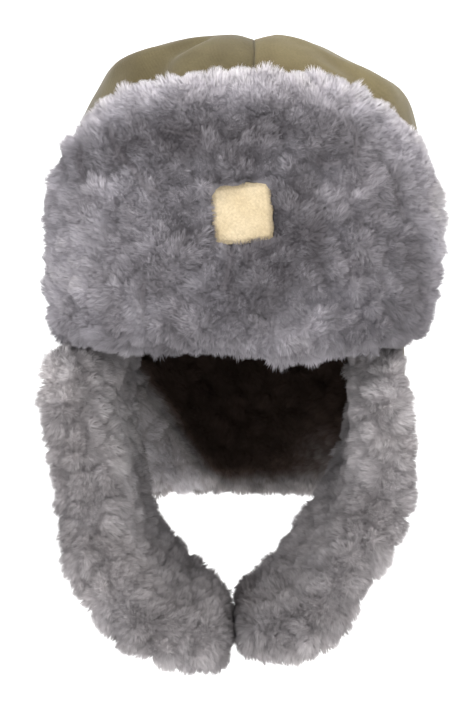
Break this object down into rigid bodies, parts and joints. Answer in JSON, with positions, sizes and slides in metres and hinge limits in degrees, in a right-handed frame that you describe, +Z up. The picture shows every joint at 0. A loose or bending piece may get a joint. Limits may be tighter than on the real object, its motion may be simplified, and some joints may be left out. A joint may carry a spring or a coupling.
{
  "type": "military ushanka",
  "caption": "Winter cap with a panelled olive cloth crown, a deep grey fur front flap folded up, and a fur curtain over ears and neck, fastened under the chin.",
  "frame": {"origin": "under the middle of the crown's top, on its inner face, where the hat sits on the head", "axes": "+Z up, -Y the way the wearer faces, +X towards the wearer's left"},
  "size_m": [0.2294, 0.2577, 0.3567],
  "materials": {
    "olive_cloth": "matt cotton weave",
    "grey_fur": "dense soft pile",
    "cream_patch": "matt plain cloth",
    "dark_webbing": "matt webbing"
  },
  "bodies": {
    "root": {"crown_panel_front_left": "olive_cloth", "crown_panel_front_right": "olive_cloth", "crown_panel_back_left": "olive_cloth", "crown_panel_back_right": "olive_cloth", "front_flap_cloth": "olive_cloth", "front_flap_fur": "grey_fur", "badge_patch": "cream_patch", "ear_flap_cloth_right": "olive_cloth", "ear_flap_fur_right": "grey_fur", "ear_flap_cloth_left": "olive_cloth", "ear_flap_fur_left": "grey_fur", "neck_flap_cloth": "olive_cloth", "neck_flap_fur": "grey_fur", "chin_tab": "dark_webbing"}
  },
  "joints": []
}
